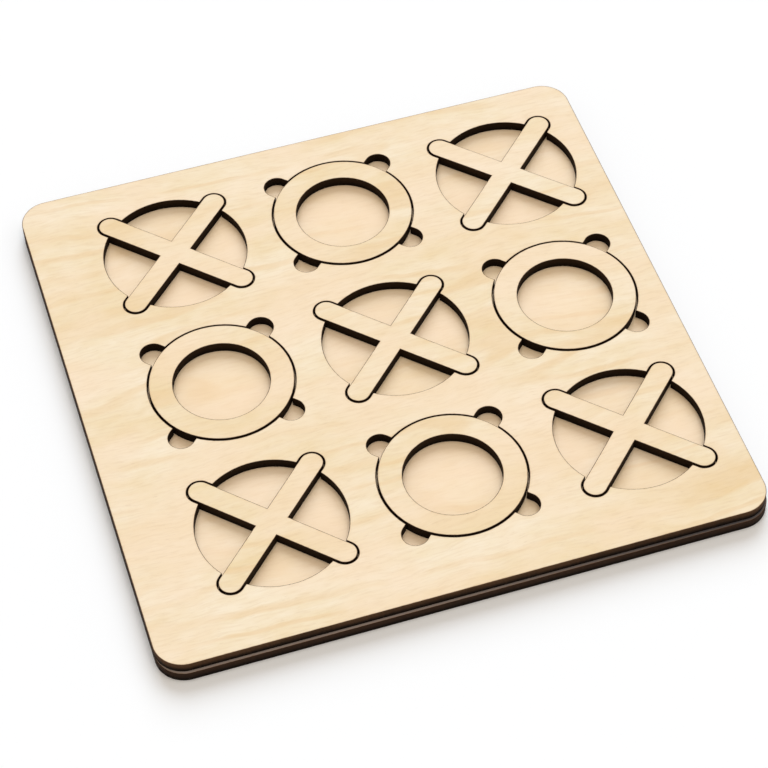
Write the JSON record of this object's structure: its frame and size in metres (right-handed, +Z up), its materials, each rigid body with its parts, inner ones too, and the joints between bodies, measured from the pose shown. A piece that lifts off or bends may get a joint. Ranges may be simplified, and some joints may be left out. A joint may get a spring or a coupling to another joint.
{
  "type": "tic tac toe set",
  "caption": "Square plywood game board with a solid base and a cut-out top, holding crossed-bar X pieces and flat O rings that lift straight out of their pockets.",
  "frame": {"origin": "under the middle of the set, level with the underside of the base board", "axes": "+Z up out of the playing face, +X to the right along the front edge, +Y towards the back edge"},
  "size_m": [0.167, 0.1678, 0.0062],
  "materials": {
    "base_plywood": "bare pale plywood face with a dark burnt edge",
    "top_plywood": "bare pale plywood face with dark burnt cut walls",
    "cross_plywood": "bare pale plywood face with dark burnt edges",
    "ring_plywood": "bare pale plywood face with dark burnt edges"
  },
  "bodies": {
    "board": {"base_board": "base_plywood", "top_board": "top_plywood"},
    "x_back_left": {"x_back_left": "cross_plywood"},
    "o_back": {"o_back": "ring_plywood"},
    "x_back_right": {"x_back_right": "cross_plywood"},
    "o_left": {"o_left": "ring_plywood"},
    "x_centre": {"x_centre": "cross_plywood"},
    "o_right": {"o_right": "ring_plywood"},
    "x_front_left": {"x_front_left": "cross_plywood"},
    "o_front": {"o_front": "ring_plywood"},
    "x_front_right": {"x_front_right": "cross_plywood"}
  },
  "joints": [
    {"name": "lift_x_back_left", "type": "slide", "parent": "board", "child": "x_back_left", "axis": [0, 0, 1], "range_m": [0, 0.04]},
    {"name": "lift_o_back", "type": "slide", "parent": "board", "child": "o_back", "axis": [0, 0, 1], "range_m": [0, 0.04]},
    {"name": "lift_x_back_right", "type": "slide", "parent": "board", "child": "x_back_right", "axis": [0, 0, 1], "range_m": [0, 0.04]},
    {"name": "lift_o_left", "type": "slide", "parent": "board", "child": "o_left", "axis": [0, 0, 1], "range_m": [0, 0.04]},
    {"name": "lift_x_centre", "type": "slide", "parent": "board", "child": "x_centre", "axis": [0, 0, 1], "range_m": [0, 0.04]},
    {"name": "lift_o_right", "type": "slide", "parent": "board", "child": "o_right", "axis": [0, 0, 1], "range_m": [0, 0.04]},
    {"name": "lift_x_front_left", "type": "slide", "parent": "board", "child": "x_front_left", "axis": [0, 0, 1], "range_m": [0, 0.04]},
    {"name": "lift_o_front", "type": "slide", "parent": "board", "child": "o_front", "axis": [0, 0, 1], "range_m": [0, 0.04]},
    {"name": "lift_x_front_right", "type": "slide", "parent": "board", "child": "x_front_right", "axis": [0, 0, 1], "range_m": [0, 0.04]}
  ]
}
